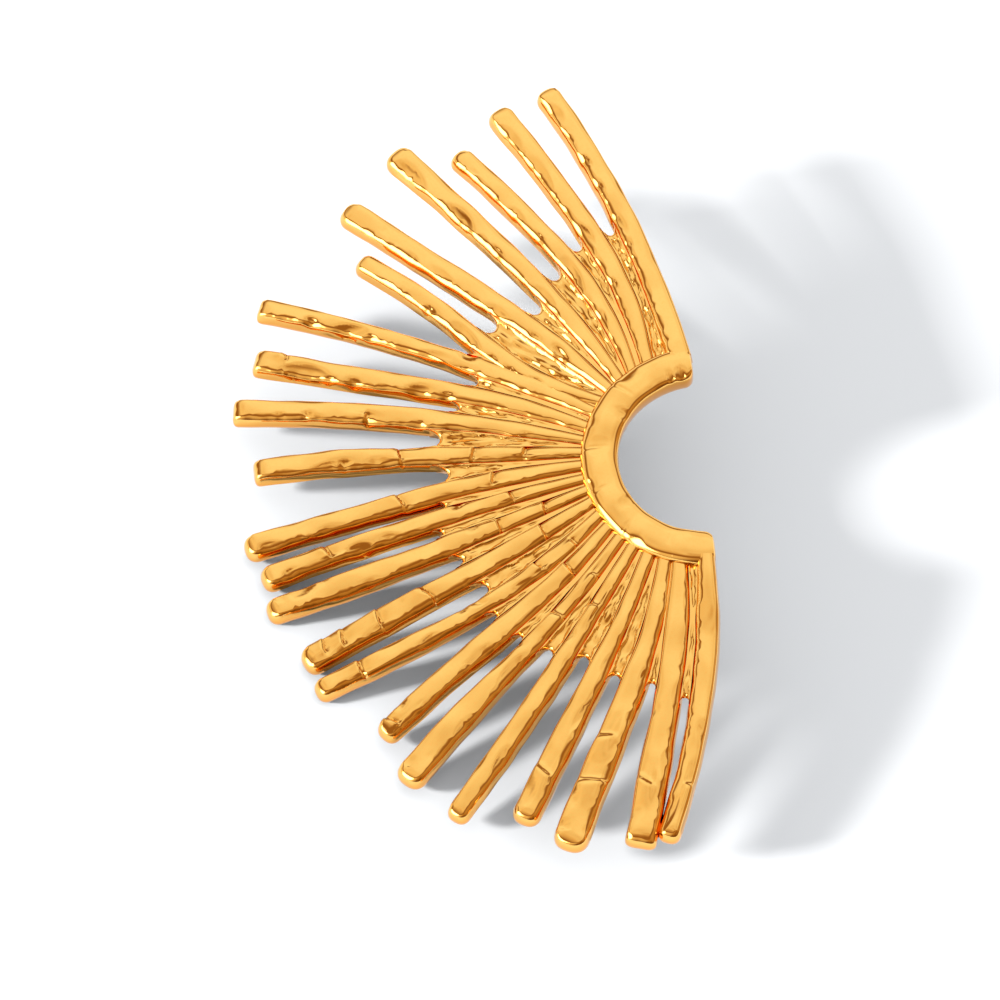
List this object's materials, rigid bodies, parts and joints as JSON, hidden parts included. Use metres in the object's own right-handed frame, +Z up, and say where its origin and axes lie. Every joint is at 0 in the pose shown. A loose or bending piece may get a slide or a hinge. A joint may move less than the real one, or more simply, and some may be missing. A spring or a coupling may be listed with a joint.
{
  "type": "fan earring",
  "caption": "Cast fan-shaped stud earring: flat polished bars spread from a C-shaped collar, joined by a recessed web, with an ear post behind the collar.",
  "frame": {"origin": "Middle of the bounding box on the surface that the earring lies on.", "axes": "+Z up from the surface, +Y along the plate's long side towards the upper arm, +X towards the collar's open side."},
  "size_m": [0.0336, 0.0598, 0.0138],
  "materials": {
    "gold_plate": "mirror-polished gold plating over a casting",
    "gold_post": "polished drawn wire, gold plated"
  },
  "bodies": {
    "root": {"fan": "gold_plate", "ear_post": "gold_post"}
  },
  "joints": []
}
